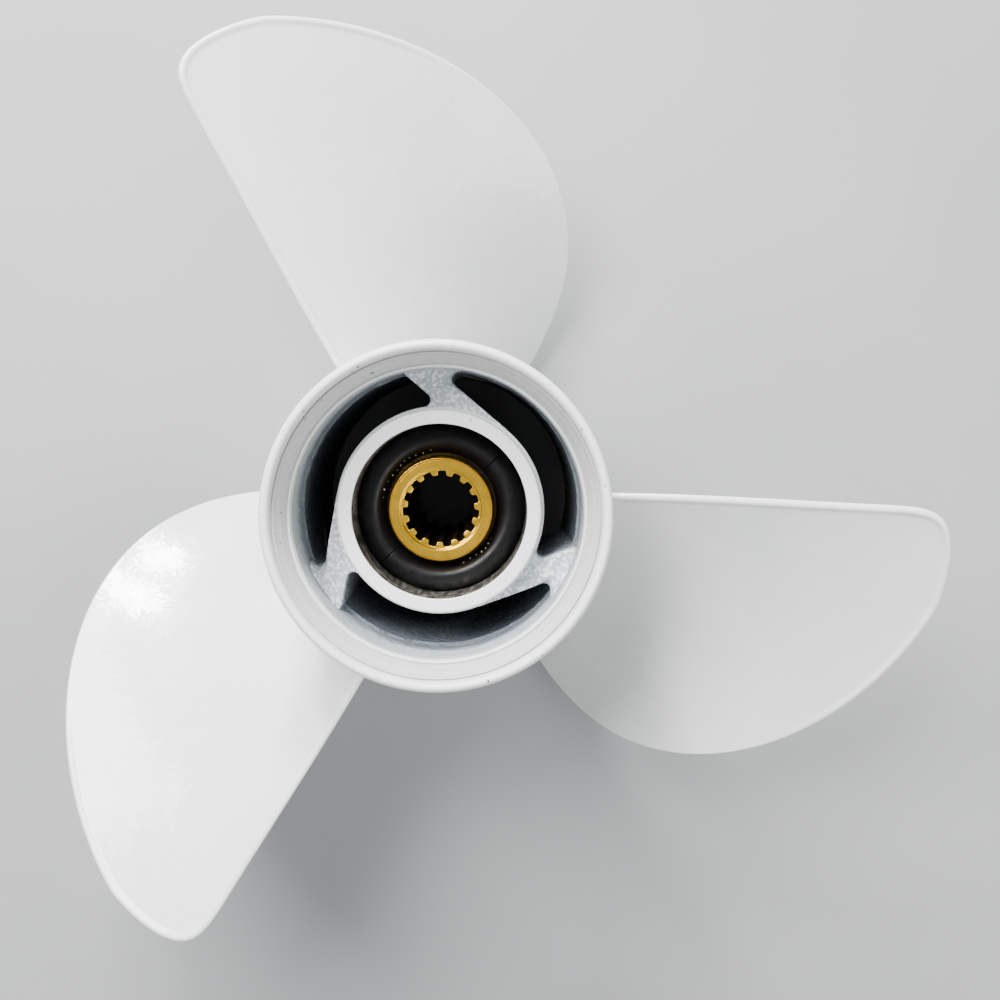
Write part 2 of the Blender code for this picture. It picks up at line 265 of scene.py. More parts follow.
def round_corners(corners, spacing=0.0016):
    """Points along a path whose corners are (radius, z, fillet), at most this spacing apart."""
    path = [Vector(corners[0][:2])]
    for before, corner, after in zip(corners, corners[1:], corners[2:]):
        here = Vector(corner[:2])
        back = (Vector(before[:2]) - here).normalized()
        ahead = (Vector(after[:2]) - here).normalized()
        half = 0.5 * back.angle(ahead)
        if corner[2] == 0.0 or half > 1.55:
            path.append(here)
            continue
        centre = here + (back + ahead).normalized() * corner[2] / math.sin(half)
        start = (here + back * corner[2] / math.tan(half) - centre).normalized()
        end = (here + ahead * corner[2] / math.tan(half) - centre).normalized()
        steps = max(3, round(math.degrees(math.pi - 2 * half) / 15))
        for step in range(steps + 1):
            path.append(centre + start.slerp(end, step / steps) * corner[2])
    path.append(Vector(corners[-1][:2]))
    filled = [path[0]]
    for point in path[1:]:
        steps = max(1, math.ceil((point - filled[-1]).length / spacing))
        last = filled[-1].copy()
        filled += [last.lerp(point, step / steps) for step in range(1, steps + 1)]
    return [tuple(point) for point in filled]


def add_mesh(name, points, faces, zones, materials, body, replaced, crease=35.0):
    """A mesh piece that rides on a body and stands for CAD nodes. zones picks each face's material."""
    mesh = bpy.data.meshes.new(name)
    mesh.from_pydata(points.tolist(), [], faces)
    for material in materials:
        mesh.materials.append(material)
    mesh.polygons.foreach_set("material_index", np.asarray(zones, dtype=np.int32))
    mesh.shade_smooth()
    mesh.set_sharp_from_angle(angle=math.radians(crease))
    mesh.validate()
    piece = bpy.data.objects.new(name, mesh)
    bpy.context.scene.collection.objects.link(piece)
    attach(piece, body)
    if replaced:
        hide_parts(*replaced)
    return piece


def ring_faces(rows, columns, closed):
    """Quads between rows of closed rings, turned so that they face out of a right-handed tube."""
    index = np.arange(rows * columns).reshape(rows, columns)
    along = np.roll(index, -1, axis=0) if closed else index[1:]
    first = index if closed else index[:-1]
    corners = [first, np.roll(first, -1, axis=1), np.roll(along, -1, axis=1), along]
    return np.stack(corners, axis=-1).reshape(-1, 4).tolist()


def outward(points, faces):
    """The same faces as lists, all turned round if they face into the solid."""
    lengths = np.array([len(face) for face in faces])
    volume = 0.0
    for corners in np.unique(lengths):
        same = np.array([face for face, length in zip(faces, lengths) if length == corners])
        first = points[same[:, 0]]
        for second in range(1, corners - 1):
            cross = np.cross(points[same[:, second]], points[same[:, second + 1]])
            volume += (first * cross).sum()
    step = -1 if volume < 0 else 1
    return [face[::step] for face in faces]


def turned(runs, angles, relief=None):
    """A closed outline turned about Z. runs are (zone, points); relief moves (radius, z) points."""
    outline = np.array([point for _, points in runs for point in points])
    zones = [zone for zone, points in runs for _ in points]
    radius, angle = np.meshgrid(outline[:, 0], angles)
    z = np.broadcast_to(outline[:, 1], radius.shape).copy()
    if relief:
        radius, z = relief(radius.copy(), z, angle, np.array(zones))
    points = cartesian(radius, angle, z).reshape(-1, 3)
    faces = outward(points, ring_faces(len(angles), len(outline), True))
    return points, faces, np.tile(zones, len(angles))


def even_angles(count):
    return np.linspace(0.0, 2 * math.pi, count, endpoint=False)


# ---------------------------------------------------------------- material helpers

def new_material(name, colour, roughness, metallic=0.0):
    material = bpy.data.materials.new(name)
    material.use_nodes = True
    shader = material.node_tree.nodes["Principled BSDF"]
    shader.inputs["Base Color"].default_value = (*colour, 1.0)
    shader.inputs["Roughness"].default_value = roughness
    shader.inputs["Metallic"].default_value = metallic
    return material, material.node_tree, shader


def place(tree, stretch=(1.0, 1.0, 1.0)):
    """The point on the piece, stretched along its axes."""
    where = tree.nodes.new("ShaderNodeTexCoord")
    mapping = tree.nodes.new("ShaderNodeMapping")
    mapping.inputs["Scale"].default_value = stretch
    tree.links.new(where.outputs["Object"], mapping.inputs["Vector"])
    return mapping.outputs["Vector"]


def grain(tree, size, detail=2.0, stretch=(1.0, 1.0, 1.0)):
    """Noise from 0 to 1 with grains of this size."""
    node = tree.nodes.new("ShaderNodeTexNoise")
    node.inputs["Scale"].default_value = 1.0 / size
    node.inputs["Detail"].default_value = detail
    tree.links.new(place(tree, stretch), node.inputs["Vector"])
    return node.outputs["Fac"]


def distance_from_axis(tree):
    """Distance of the point from the shaft axis."""
    length = tree.nodes.new("ShaderNodeVectorMath")
    length.operation = "LENGTH"
    tree.links.new(place(tree, (1.0, 1.0, 0.0)), length.inputs[0])
    return length.outputs["Value"]


def turning_marks(tree, size, detail=3.0):
    """Noise along the radius only, as a lathe tool leaves it."""
    node = tree.nodes.new("ShaderNodeTexNoise")
    node.noise_dimensions = "1D"
    node.inputs["Scale"].default_value = 1.0 / size
    node.inputs["Detail"].default_value = detail
    tree.links.new(distance_from_axis(tree), node.inputs["W"])
    return node.outputs["Fac"]


def height_on_axis(tree):
    """Height of the point along the shaft axis."""
    split = tree.nodes.new("ShaderNodeSeparateXYZ")
    tree.links.new(place(tree), split.inputs["Vector"])
    return split.outputs["Z"]


def ranged(tree, source, low, high, start=0.0, end=1.0):
    """Maps low..high of the source to start..end, smoothly and clamped."""
    node = tree.nodes.new("ShaderNodeMapRange")
    node.interpolation_type = "SMOOTHSTEP"
    node.inputs["From Min"].default_value = low
    node.inputs["From Max"].default_value = high
    node.inputs["To Min"].default_value = start
    node.inputs["To Max"].default_value = end
    tree.links.new(source, node.inputs["Value"])
    return node.outputs["Result"]


def math_node(tree, operation, first, second):
    node = tree.nodes.new("ShaderNodeMath")
    node.operation = operation
    for socket, value in zip(node.inputs, (first, second)):
        if isinstance(value, float):
            socket.default_value = value
        else:
            tree.links.new(value, socket)
    return node.outputs["Value"]


def mixed(tree, share, first, second):
    """A colour between first and second, each a colour or a socket."""
    node = tree.nodes.new("ShaderNodeMix")
    node.data_type = "RGBA"
    tree.links.new(share, node.inputs["Factor"])
    colours = [socket for socket in node.inputs if socket.type == "RGBA"]
    for socket, value in zip(colours, (first, second)):
        if isinstance(value, tuple):
            socket.default_value = (*value, 1.0)
        else:
            tree.links.new(value, socket)
    return next(socket for socket in node.outputs if socket.type == "RGBA")


def bumped(tree, shader, layers):
    """Adds bump layers of (height, depth in metres), to the clear coat as well."""
    normal = None
    for height, depth in layers:
        node = tree.nodes.new("ShaderNodeBump")
        node.inputs["Strength"].default_value = 1.0
        node.inputs["Distance"].default_value = depth
        tree.links.new(height, node.inputs["Height"])
        if normal:
            tree.links.new(normal, node.inputs["Normal"])
        normal = node.outputs["Normal"]
    tree.links.new(normal, shader.inputs["Normal"])
    tree.links.new(normal, shader.inputs["Coat Normal"])


# ---------------------------------------------------------------- materials

PAINT_WHITE = (0.80, 0.81, 0.80)
PAINT_GREY = (0.765, 0.78, 0.775)
# a darker copy of the white paint, painted shade on the ring's inner cone and wall
SHADED_PAINT_LIGHT = (0.57, 0.585, 0.58)
SHADED_PAINT_DARK = (0.50, 0.515, 0.515)
PIT_COLOUR = (0.16, 0.15, 0.14)
# Passage colours: near black painted shade deep in the passages, the cast grey, painted glints, and a
# lighter band at the aft end that is partly the turned wall's tone and partly painted light.
PASSAGE_SHADE = (0.026, 0.031, 0.040)
PASSAGE_GREY = (0.27, 0.305, 0.340)
PASSAGE_GLINT = (0.50, 0.54, 0.56)
PASSAGE_TURNED_LIT = (0.40, 0.435, 0.450)
# Rib colours: a darker grey for the sides as painted shade, the face grey, and lighter spots as
# painted glints.
RIB_SHADED_GREY = (0.33, 0.36, 0.39)
RIB_GREY = (0.46, 0.50, 0.525)
RIB_PAINTED_GLINT = (0.83, 0.85, 0.86)
BORE_STAIN = (0.10, 0.10, 0.09)
BORE_METAL = (0.34, 0.33, 0.30)
RUBBER_BLACK = (0.0045, 0.0045, 0.005)
RUBBER_DUST = (0.030, 0.029, 0.027)
# nib greys far lighter than the rubber, as painted glints
NIB_DARK = (0.16, 0.16, 0.16)
NIB_PAINTED_GLINT = (0.55, 0.55, 0.54)
BRASS_BRIGHT = (0.98, 0.62, 0.055)
BRASS_WORN = (0.88, 0.52, 0.035)
BRASS_TARNISH = (0.84, 0.49, 0.035)
# the bore's brass darkened as painted shade, with darker grease blotches
GREASE_AND_SHADE = (0.020, 0.015, 0.008)
PAINTED_SHADE_BRASS = (0.20, 0.13, 0.045)
FLOOR_DARK = (0.32, 0.325, 0.33)
FLOOR_LIGHT = (0.35, 0.355, 0.36)
STREAKS_FADE_RADII = (0.060, 0.098)
PASSAGE_RAGGED_HEIGHT = 0.014
# heights of the lighter band at the aft end, partly painted light, and of the painted shade below it
PASSAGE_TURNED_LIT_HEIGHTS = (0.096, 0.103)
PASSAGE_SHADE_HEIGHTS = (-0.020, 0.096)
# heights where the rib's lit face turns to its painted shade, and where that shade deepens to near
# black
RIB_LIT_FACE_HEIGHTS = (0.0835, 0.0915)
RIB_SHADE_HEIGHTS = (-0.010, 0.090)


def gloss_paint(name, streaks=False):
    """Sprayed white gloss: orange peel, slow waves, faint mottling and a few pits.

    Streaks are the faint parallel marks that dressing the casting left under the paint by the barrel.
    """
    material, tree, shader = new_material(name, PAINT_WHITE, 0.24)
    mottle = ranged(tree, grain(tree, 0.020, 3.0), 0.35, 0.68)
    pits = ranged(tree, grain(tree, 0.0011, 1.0), 0.80, 0.84)
    colour = mixed(tree, mottle, PAINT_WHITE, PAINT_GREY)
    tree.links.new(mixed(tree, pits, colour, PIT_COLOUR), shader.inputs["Base Color"])
    rough = ranged(tree, grain(tree, 0.006, 4.0), 0.3, 0.7, 0.17, 0.30)
    tree.links.new(rough, shader.inputs["Roughness"])
    shader.inputs["Coat Weight"].default_value = 0.5
    shader.inputs["Coat Roughness"].default_value = 0.04
    layers = [
        (grain(tree, 0.0085, 1.0), 0.00010),
        (grain(tree, 0.0034, 2.0), 0.00006),
        (grain(tree, 0.0015, 1.5), 0.00003),
    ]
    if streaks:
        lines = grain(tree, 0.0016, 2.0, (1.0, 0.03, 0.03))
        away = distance_from_axis(tree)
        near_barrel = ranged(tree, away, *STREAKS_FADE_RADII, 1.0, 0.0)
        layers.append((math_node(tree, "MULTIPLY", lines, near_barrel), 0.00014))
    bumped(tree, shader, layers)
    return material


def turned_paint(name, white, grey):
    """Paint over lathe-turned metal: fine rings under the gloss, and small dark nicks."""
    material, tree, shader = new_material(name, white, 0.30)
    rings = turning_marks(tree, 0.0009)
    nicks = ranged(tree, grain(tree, 0.0019, 3.0), 0.705, 0.735)
    colour = mixed(tree, ranged(tree, rings, 0.3, 0.7), white, grey)
    tree.links.new(mixed(tree, nicks, colour, PIT_COLOUR), shader.inputs["Base Color"])
    rough = ranged(tree, grain(tree, 0.004, 3.0), 0.3, 0.7, 0.26, 0.42)
    tree.links.new(rough, shader.inputs["Roughness"])
    bumped(tree, shader, [(rings, 0.00005), (grain(tree, 0.0014, 2.0), 0.00003)])
    return material


def passage_paint():
    """Rough cast wall of the exhaust passages: painted shade makes it darker towards the forward end,
    lighter specks are painted glints, and the band at the aft end is lighter, partly as the turned
    wall's own tone and partly as painted light.
    """
    material, tree, shader = new_material("passage_paint", PASSAGE_GREY, 0.4)
    ragged = math_node(tree, "MULTIPLY", grain(tree, 0.006, 4.0), PASSAGE_RAGGED_HEIGHT)
    level = math_node(tree, "ADD", height_on_axis(tree), ragged)
    # the lighter band at the aft end: partly the turned wall's own tone, partly painted light
    near = ranged(tree, level, *PASSAGE_TURNED_LIT_HEIGHTS)
    # painted shade, darker towards the forward end of the passage
    shade_share = ranged(tree, level, *PASSAGE_SHADE_HEIGHTS)
    # lighter specks, painted glints, which fade out in the painted shade
    specks = ranged(tree, grain(tree, 0.0012, 3.0), 0.60, 0.70)
    cast = mixed(tree, shade_share, PASSAGE_SHADE, PASSAGE_GREY)
    glints = math_node(tree, "MULTIPLY", specks, shade_share)
    colour = mixed(tree, glints, cast, PASSAGE_GLINT)
    light = mixed(tree, near, colour, PASSAGE_TURNED_LIT)
    tree.links.new(light, shader.inputs["Base Color"])
    rough = ranged(tree, grain(tree, 0.002, 3.0), 0.3, 0.7, 0.28, 0.55)
    tree.links.new(rough, shader.inputs["Roughness"])
    layers = [(grain(tree, 0.0030, 4.0), 0.00090), (grain(tree, 0.0011, 2.0), 0.00035)]
    bumped(tree, shader, layers)
    return material


def rib_paint():
    """Rough-cast paint of the rib faces with painted glints; lower down it turns to a darker copy as
    painted shade, fading to the painted shade of the passages below.
    """
    material, tree, shader = new_material("rib_paint", RIB_GREY, 0.35)
    # lighter spots on the face are painted glints
    glint_spots = ranged(tree, grain(tree, 0.0013, 4.0), 0.48, 0.60)
    face = mixed(tree, glint_spots, RIB_GREY, RIB_PAINTED_GLINT)
    # the top face is lighter, the sides a darker copy as painted shade, which goes near black in the
    # passages
    fade = ranged(tree, height_on_axis(tree), *RIB_LIT_FACE_HEIGHTS)
    shade_share = ranged(tree, height_on_axis(tree), *RIB_SHADE_HEIGHTS)
    wall = mixed(tree, shade_share, PASSAGE_SHADE, RIB_SHADED_GREY)
    tree.links.new(mixed(tree, fade, wall, face), shader.inputs["Base Color"])
    rough = ranged(tree, grain(tree, 0.0015, 3.0), 0.3, 0.7, 0.14, 0.40)
    tree.links.new(rough, shader.inputs["Roughness"])
    layers = [(grain(tree, 0.0026, 4.0), 0.00110), (grain(tree, 0.0011, 2.0), 0.00050)]
    bumped(tree, shader, layers)
    return material


def bare_bore():
    """Machined bare aluminium of the hub bore, dulled and scratched along the shaft."""
    material, tree, shader = new_material("bare_bore", BORE_METAL, 0.45, 0.9)
    scratches = grain(tree, 0.0012, 4.0, (1.0, 1.0, 0.08))
    stain = grain(tree, 0.004, 3.0)
    colour = mixed(tree, ranged(tree, stain, 0.35, 0.65), BORE_STAIN, BORE_METAL)
    tree.links.new(colour, shader.inputs["Base Color"])
    tree.links.new(ranged(tree, scratches, 0.3, 0.7, 0.34, 0.62), shader.inputs["Roughness"])
    bumped(tree, shader, [(scratches, 0.00008)])
    return material


def black_rubber():
    """Moulded black rubber: satin, faintly grained, with a little dust."""
    material, tree, shader = new_material("black_rubber", RUBBER_BLACK, 0.42)
    dust = ranged(tree, grain(tree, 0.0009, 3.0), 0.66, 0.80)
    colour = mixed(tree, dust, RUBBER_BLACK, RUBBER_DUST)
    tree.links.new(colour, shader.inputs["Base Color"])
    shader.inputs["Specular IOR Level"].default_value = 0.28
    rough = ranged(tree, grain(tree, 0.003, 3.0), 0.3, 0.7, 0.30, 0.44)
    tree.links.new(rough, shader.inputs["Roughness"])
    bumped(tree, shader, [(grain(tree, 0.0004, 2.0), 0.00003)])
    return material


def turned_brass():
    """Bright turned brass with tool rings and small tarnish marks."""
    material, tree, shader = new_material("turned_brass", BRASS_WORN, 0.26, 1.0)
    rings = turning_marks(tree, 0.0005)
    tarnish = ranged(tree, grain(tree, 0.0030, 5.0), 0.50, 0.80)
    worn = mixed(tree, ranged(tree, rings, 0.35, 0.65), BRASS_BRIGHT, BRASS_WORN)
    colour = mixed(tree, tarnish, worn, BRASS_TARNISH)
    tree.links.new(colour, shader.inputs["Base Color"])
    rough = ranged(tree, grain(tree, 0.0030, 2.0), 0.3, 0.7, 0.20, 0.27)
    tree.links.new(rough, shader.inputs["Roughness"])
    bumped(tree, shader, [(rings, 0.00006), (grain(tree, 0.0007, 2.0), 0.000008)])
    return material


def bore_shade_brass():
    """Brass of the spline's flanks and the bore behind them, darkened as painted shade, with darker
    grease blotches.
    """
    material, tree, shader = new_material("bore_shade_brass", PAINTED_SHADE_BRASS, 0.4, 0.8)
    stain = ranged(tree, grain(tree, 0.0012, 4.0), 0.52, 0.68)
    colour = mixed(tree, stain, GREASE_AND_SHADE, PAINTED_SHADE_BRASS)
    tree.links.new(colour, shader.inputs["Base Color"])
    rough = ranged(tree, grain(tree, 0.0010, 3.0), 0.3, 0.7, 0.25, 0.60)
    tree.links.new(rough, shader.inputs["Roughness"])
    bumped(tree, shader, [(grain(tree, 0.0009, 3.0), 0.00010)])
    return material


def smooth_rubber():
    """The small smooth nibs of the moulding, coloured in greys far lighter than the rubber as painted
    glints.
    """
    material, tree, shader = new_material("smooth_rubber", NIB_DARK, 0.12)
    tone = ranged(tree, grain(tree, 0.0020, 2.0), 0.35, 0.65)
    colour = mixed(tree, tone, NIB_DARK, NIB_PAINTED_GLINT)
    tree.links.new(colour, shader.inputs["Base Color"])
    bumped(tree, shader, [(grain(tree, 0.0003, 1.0), 0.00002)])
    return material


def floor_finish():
    """Plain pale matt floor with slow, faint changes of tone."""
    material, tree, shader = new_material("pale_floor", FLOOR_LIGHT, 0.6)
    tone = ranged(tree, grain(tree, 0.15, 3.0), 0.3, 0.7)
    colour = mixed(tree, tone, FLOOR_DARK, FLOOR_LIGHT)
    tree.links.new(colour, shader.inputs["Base Color"])
    return material


GLOSS = gloss_paint("white_gloss_paint")
STREAKED_GLOSS = gloss_paint("streaked_gloss_paint", streaks=True)
TURNED_PAINT = turned_paint("turned_white_paint", PAINT_WHITE, PAINT_GREY)
# the inner cone and wall get the white paint in darker tones, as painted shade
SHADED_CONE_PAINT = turned_paint("shaded_white_paint", SHADED_PAINT_LIGHT, SHADED_PAINT_DARK)
PASSAGE = passage_paint()
RIB_FACE = rib_paint()
BARE_BORE = bare_bore()
RUBBER = black_rubber()
BRASS = turned_brass()
BORE_SHADE_BRASS = bore_shade_brass()
NIB_RUBBER = smooth_rubber()


# ---------------------------------------------------------------- barrel and ring

def barrel_radius(z):
    forward = np.maximum(0.0, 1.0 - z / BARREL_FORWARD_TAPER_LENGTH)
    aft = np.maximum(0.0, (z - BARREL_FLARE_START) / (HUB_LENGTH - BARREL_FLARE_START))
    waist = BARREL_WAIST_RADIUS
    return (
        waist
        + (BARREL_FORWARD_RADIUS - waist) * forward**2
        + (BARREL_RIM_RADIUS - waist) * aft**2
    )


def lip_arc():
    """The round lip of the aft rim, from its outer foot over its crest to its inner foot."""
    centre = 0.5 * (LIP_OUTER_RADIUS + LIP_INNER_RADIUS)
    half = 0.5 * (LIP_OUTER_RADIUS - LIP_INNER_RADIUS)
    turns = np.linspace(0.0, math.pi, 21)
    height = HUB_LENGTH - LIP_BASE_Z
    return [(centre + half * math.cos(t), LIP_BASE_Z + height * math.sin(t)) for t in turns]


def add_barrel():
    """The barrel and its aft ring as one closed outline turned about the shaft axis."""
    outside_z = np.linspace(MOUTH_ROUND, LIP_BASE_Z - 0.0006, 70)
    outside = [(float(barrel_radius(z)), float(z)) for z in outside_z]
    mouth_outer = outside[0][0]
    lip = lip_arc()
    line_start = (CONE_INNER_RADIUS - LAND_LINE_WIDTH, LAND_Z - LAND_LINE_DEPTH, 0.0)
    cone = round_corners([
        lip[-1],
        (CONE_OUTER_RADIUS + 0.0004, CONE_OUTER_Z - 0.0003, 0.0002),
        (CONE_OUTER_RADIUS + 0.0002, CONE_OUTER_Z - GROOVE_DEPTH, 0.0001),
        (CONE_OUTER_RADIUS, CONE_OUTER_Z, 0.0001),
        (CONE_STEP_RADIUS, CONE_STEP_Z, 0.0003),
        (CONE_STEP_RADIUS - CONE_STEP_WIDTH, CONE_STEP_Z - CONE_STEP_FALL, 0.0003),
        (CONE_INNER_RADIUS, CONE_INNER_Z, 0.0004),
        (CONE_INNER_RADIUS - 0.0002, LAND_Z - LAND_LINE_DEPTH, 0.0002),
        line_start,
    ], spacing=0.0008)[1:]
    step_radius = BARREL_WALL_RADIUS + WALL_STEP
    land = round_corners([
        line_start,
        (line_start[0] - 0.0002, LAND_Z + LAND_HEIGHT, 0.0002),
        (step_radius, LAND_Z + LAND_HEIGHT, 0.0003),
        (step_radius, WALL_STEP_Z, 0.0),
    ], spacing=0.0005)[1:]
    wall = round_corners([
        (step_radius, WALL_STEP_Z, 0.0),
        (BARREL_WALL_RADIUS, WALL_Z, 0.0002),
        (BARREL_WALL_RADIUS, CAST_WALL_Z, 0.0),
    ], spacing=0.0008)[1:]
    passage = round_corners([
        (BARREL_WALL_RADIUS, CAST_WALL_Z - 0.0001, 0.0),
        (BARREL_WALL_RADIUS, CAST_STEP_Z, 0.0),
        (BARREL_WALL_RADIUS, MOUTH_TAPER_Z, 0.0),
        (BARREL_MOUTH_RADIUS, MOUTH_LAND_Z, 0.0),
    ], spacing=0.0009)
    mouth = round_corners([
        (BARREL_MOUTH_RADIUS, MOUTH_LAND_Z - 0.0005, 0.0),
        (BARREL_MOUTH_RADIUS, 0.0, MOUTH_ROUND),
        (mouth_outer, 0.0, MOUTH_ROUND),
        (mouth_outer, MOUTH_ROUND, 0.0),
    ])[:-1]
    runs = [(0, outside), (1, lip), (3, cone), (1, land), (3, wall), (2, passage), (1, mouth)]

    def relief(radius, z, angle, zones):
        """Sinks the cast wall below the turned one at a ragged line, with a ridge and lumps."""
        cast = zones == 2
        points = cartesian(radius, angle, z)[:, cast]
        around = points * (1, 1, 0)
        height = points[..., 2]
        rim = MACHINED_Z + RAGGED_RISE * bumps(around, RAGGED_WIDTH, 3.0)
        rim += CHIPPED_RISE * bumps(points, CHIPPED_WIDTH, 5.0)
        below = smooth_step(-height, -rim, -rim + CHIPPED_RISE)
        step = CAST_STEP_Z + CAST_STEP_RISE * bumps(around, CAST_STEP_WIDTH, 8.0)
        ridge = np.exp(-(((height - step) / CAST_RIDGE_WIDTH) ** 2))
        skin = sum(depth * bumps(points, size, seed) for depth, size, seed in CAST_LUMPS)
        fade = smooth_step(height, MOUTH_LAND_Z, 0.010)
        sink = CAST_SINK * below - CAST_RIDGE * ridge
        radius[:, cast] += (sink + skin * (0.25 + 0.75 * below)) * fade
        return radius, z

    points, faces, zones = turned(runs, even_angles(BARREL_STATIONS), relief)
    materials = [GLOSS, TURNED_PAINT, PASSAGE, SHADED_CONE_PAINT]
    nodes = ("outer_barrel", "diffuser_ring")
    add_mesh("barrel_skin", points, faces, zones, materials, "casting", nodes)


# ---------------------------------------------------------------- inner hub

def add_hub():
    """The tube that holds the rubber: turned and painted aft face, bare bore, cast outside."""
    shoulder_z = HUB_FORWARD_Z + HUB_SHOULDER_THICKNESS
    shoulder_land = HUB_SHOULDER_RADIUS + HUB_SHOULDER_LAND
    face = round_corners([
        (HUB_RADIUS, HUB_FACE_Z, 0.0),
        (HUB_RADIUS, HUB_SHOULDER_Z, 0.0005),
        (HUB_TURNED_RADIUS + HUB_TURNED_DRAFT, HUB_SHOULDER_Z, 0.0003),
        (HUB_TURNED_RADIUS, HUB_AFT_Z, 0.0009),
        (HUB_LINE_RADIUS + HUB_LINE_HALF_WIDTH, HUB_AFT_Z, 0.0),
        (HUB_LINE_RADIUS, HUB_AFT_Z - HUB_LINE_DEPTH, 0.0),
        (HUB_LINE_RADIUS - HUB_LINE_HALF_WIDTH, HUB_AFT_Z, 0.0),
        (HUB_BORE_RADIUS, HUB_AFT_Z, 0.0004),
        (HUB_BORE_RADIUS, HUB_AFT_Z - HUB_PAINTED_BORE, 0.0),
    ], spacing=0.0007)[:-1]
    bore = round_corners([
        (HUB_BORE_RADIUS, HUB_AFT_Z - HUB_PAINTED_BORE, 0.0),
        (HUB_BORE_RADIUS, shoulder_z, 0.0006),
        (HUB_SHOULDER_RADIUS, shoulder_z, 0.0005),
        (HUB_SHOULDER_RADIUS, HUB_FORWARD_Z, 0.0005),
        (shoulder_land, HUB_FORWARD_Z, 0.0),
    ], spacing=0.0020)[:-1]
    wall = round_corners([
        (shoulder_land, HUB_FORWARD_Z, 0.0),
        (HUB_FORWARD_RADIUS, HUB_FORWARD_Z, 0.0010),
        (HUB_FORWARD_RADIUS, HUB_TAPER_Z, 0.0),
        (HUB_RADIUS, HUB_FACE_Z, 0.0),
    ], spacing=0.0015)[:-1]

    def relief(radius, z, angle, zones):
        """Gives the cast outside its lumps."""
        cast = zones == 2
        points = cartesian(radius, angle, z)[:, cast]
        radius[:, cast] += HUB_LUMP_DEPTH * bumps(points, HUB_LUMP_SIZE, 23.0)
        return radius, z

    runs = [(0, face), (1, bore), (2, wall)]
    points, faces, zones = turned(runs, even_angles(HUB_STATIONS), relief)
    materials = [TURNED_PAINT, BARE_BORE, RIB_FACE]
    hub = ("inner_hub",)
    add_mesh("hub_skin", points, faces, zones, materials, "casting", hub)


# ---------------------------------------------------------------- ribs

def fillet_place(offset, side, wall_radius, inward, fillet):
    """Centre of a fillet between a rib's side, at this offset, and a round wall."""
    across = offset + side * fillet
    reach = wall_radius + inward * fillet
    return across, math.sqrt(reach**2 - across**2)


def arc_points(across, along, radius, turns):
    return [(across + radius * math.cos(t), along + radius * math.sin(t)) for t in turns]


def rib_sides():
    """The two sides of a rib's outline, each from the hub to the barrel, as (across, along)."""
    across, along = fillet_place(
        RIB_LONG_OFFSET, 1.0, BARREL_WALL_RADIUS, -1.0, RIB_LONG_FILLET
    )
    long_side = [(RIB_LONG_OFFSET, t) for t in np.linspace(0.0, along, 30)]
    turns = np.linspace(math.pi, math.atan2(along, across), 15)[1:]
    long_side += arc_points(across, along, RIB_LONG_FILLET, turns)
    across, along = fillet_place(RIB_SHORT_OFFSET, -1.0, HUB_RADIUS, 1.0, RIB_SHORT_FILLET)
    turns = np.linspace(math.atan2(along, across) - math.pi, 0.0, 18)
    short_side = arc_points(across, along, RIB_SHORT_FILLET, turns)
    end = math.sqrt(BARREL_WALL_RADIUS**2 - RIB_SHORT_OFFSET**2)
    short_side += [(RIB_SHORT_OFFSET, t) for t in np.linspace(along, end, 27)[1:]]
    return np.array(long_side), np.array(short_side)


def polar(points):
    """Radius and angle of (x, y) points."""
    radius = np.hypot(points[:, 0], points[:, 1])
    angle = np.arctan2(points[:, 1], points[:, 0])
    return np.stack([radius, angle], axis=-1)


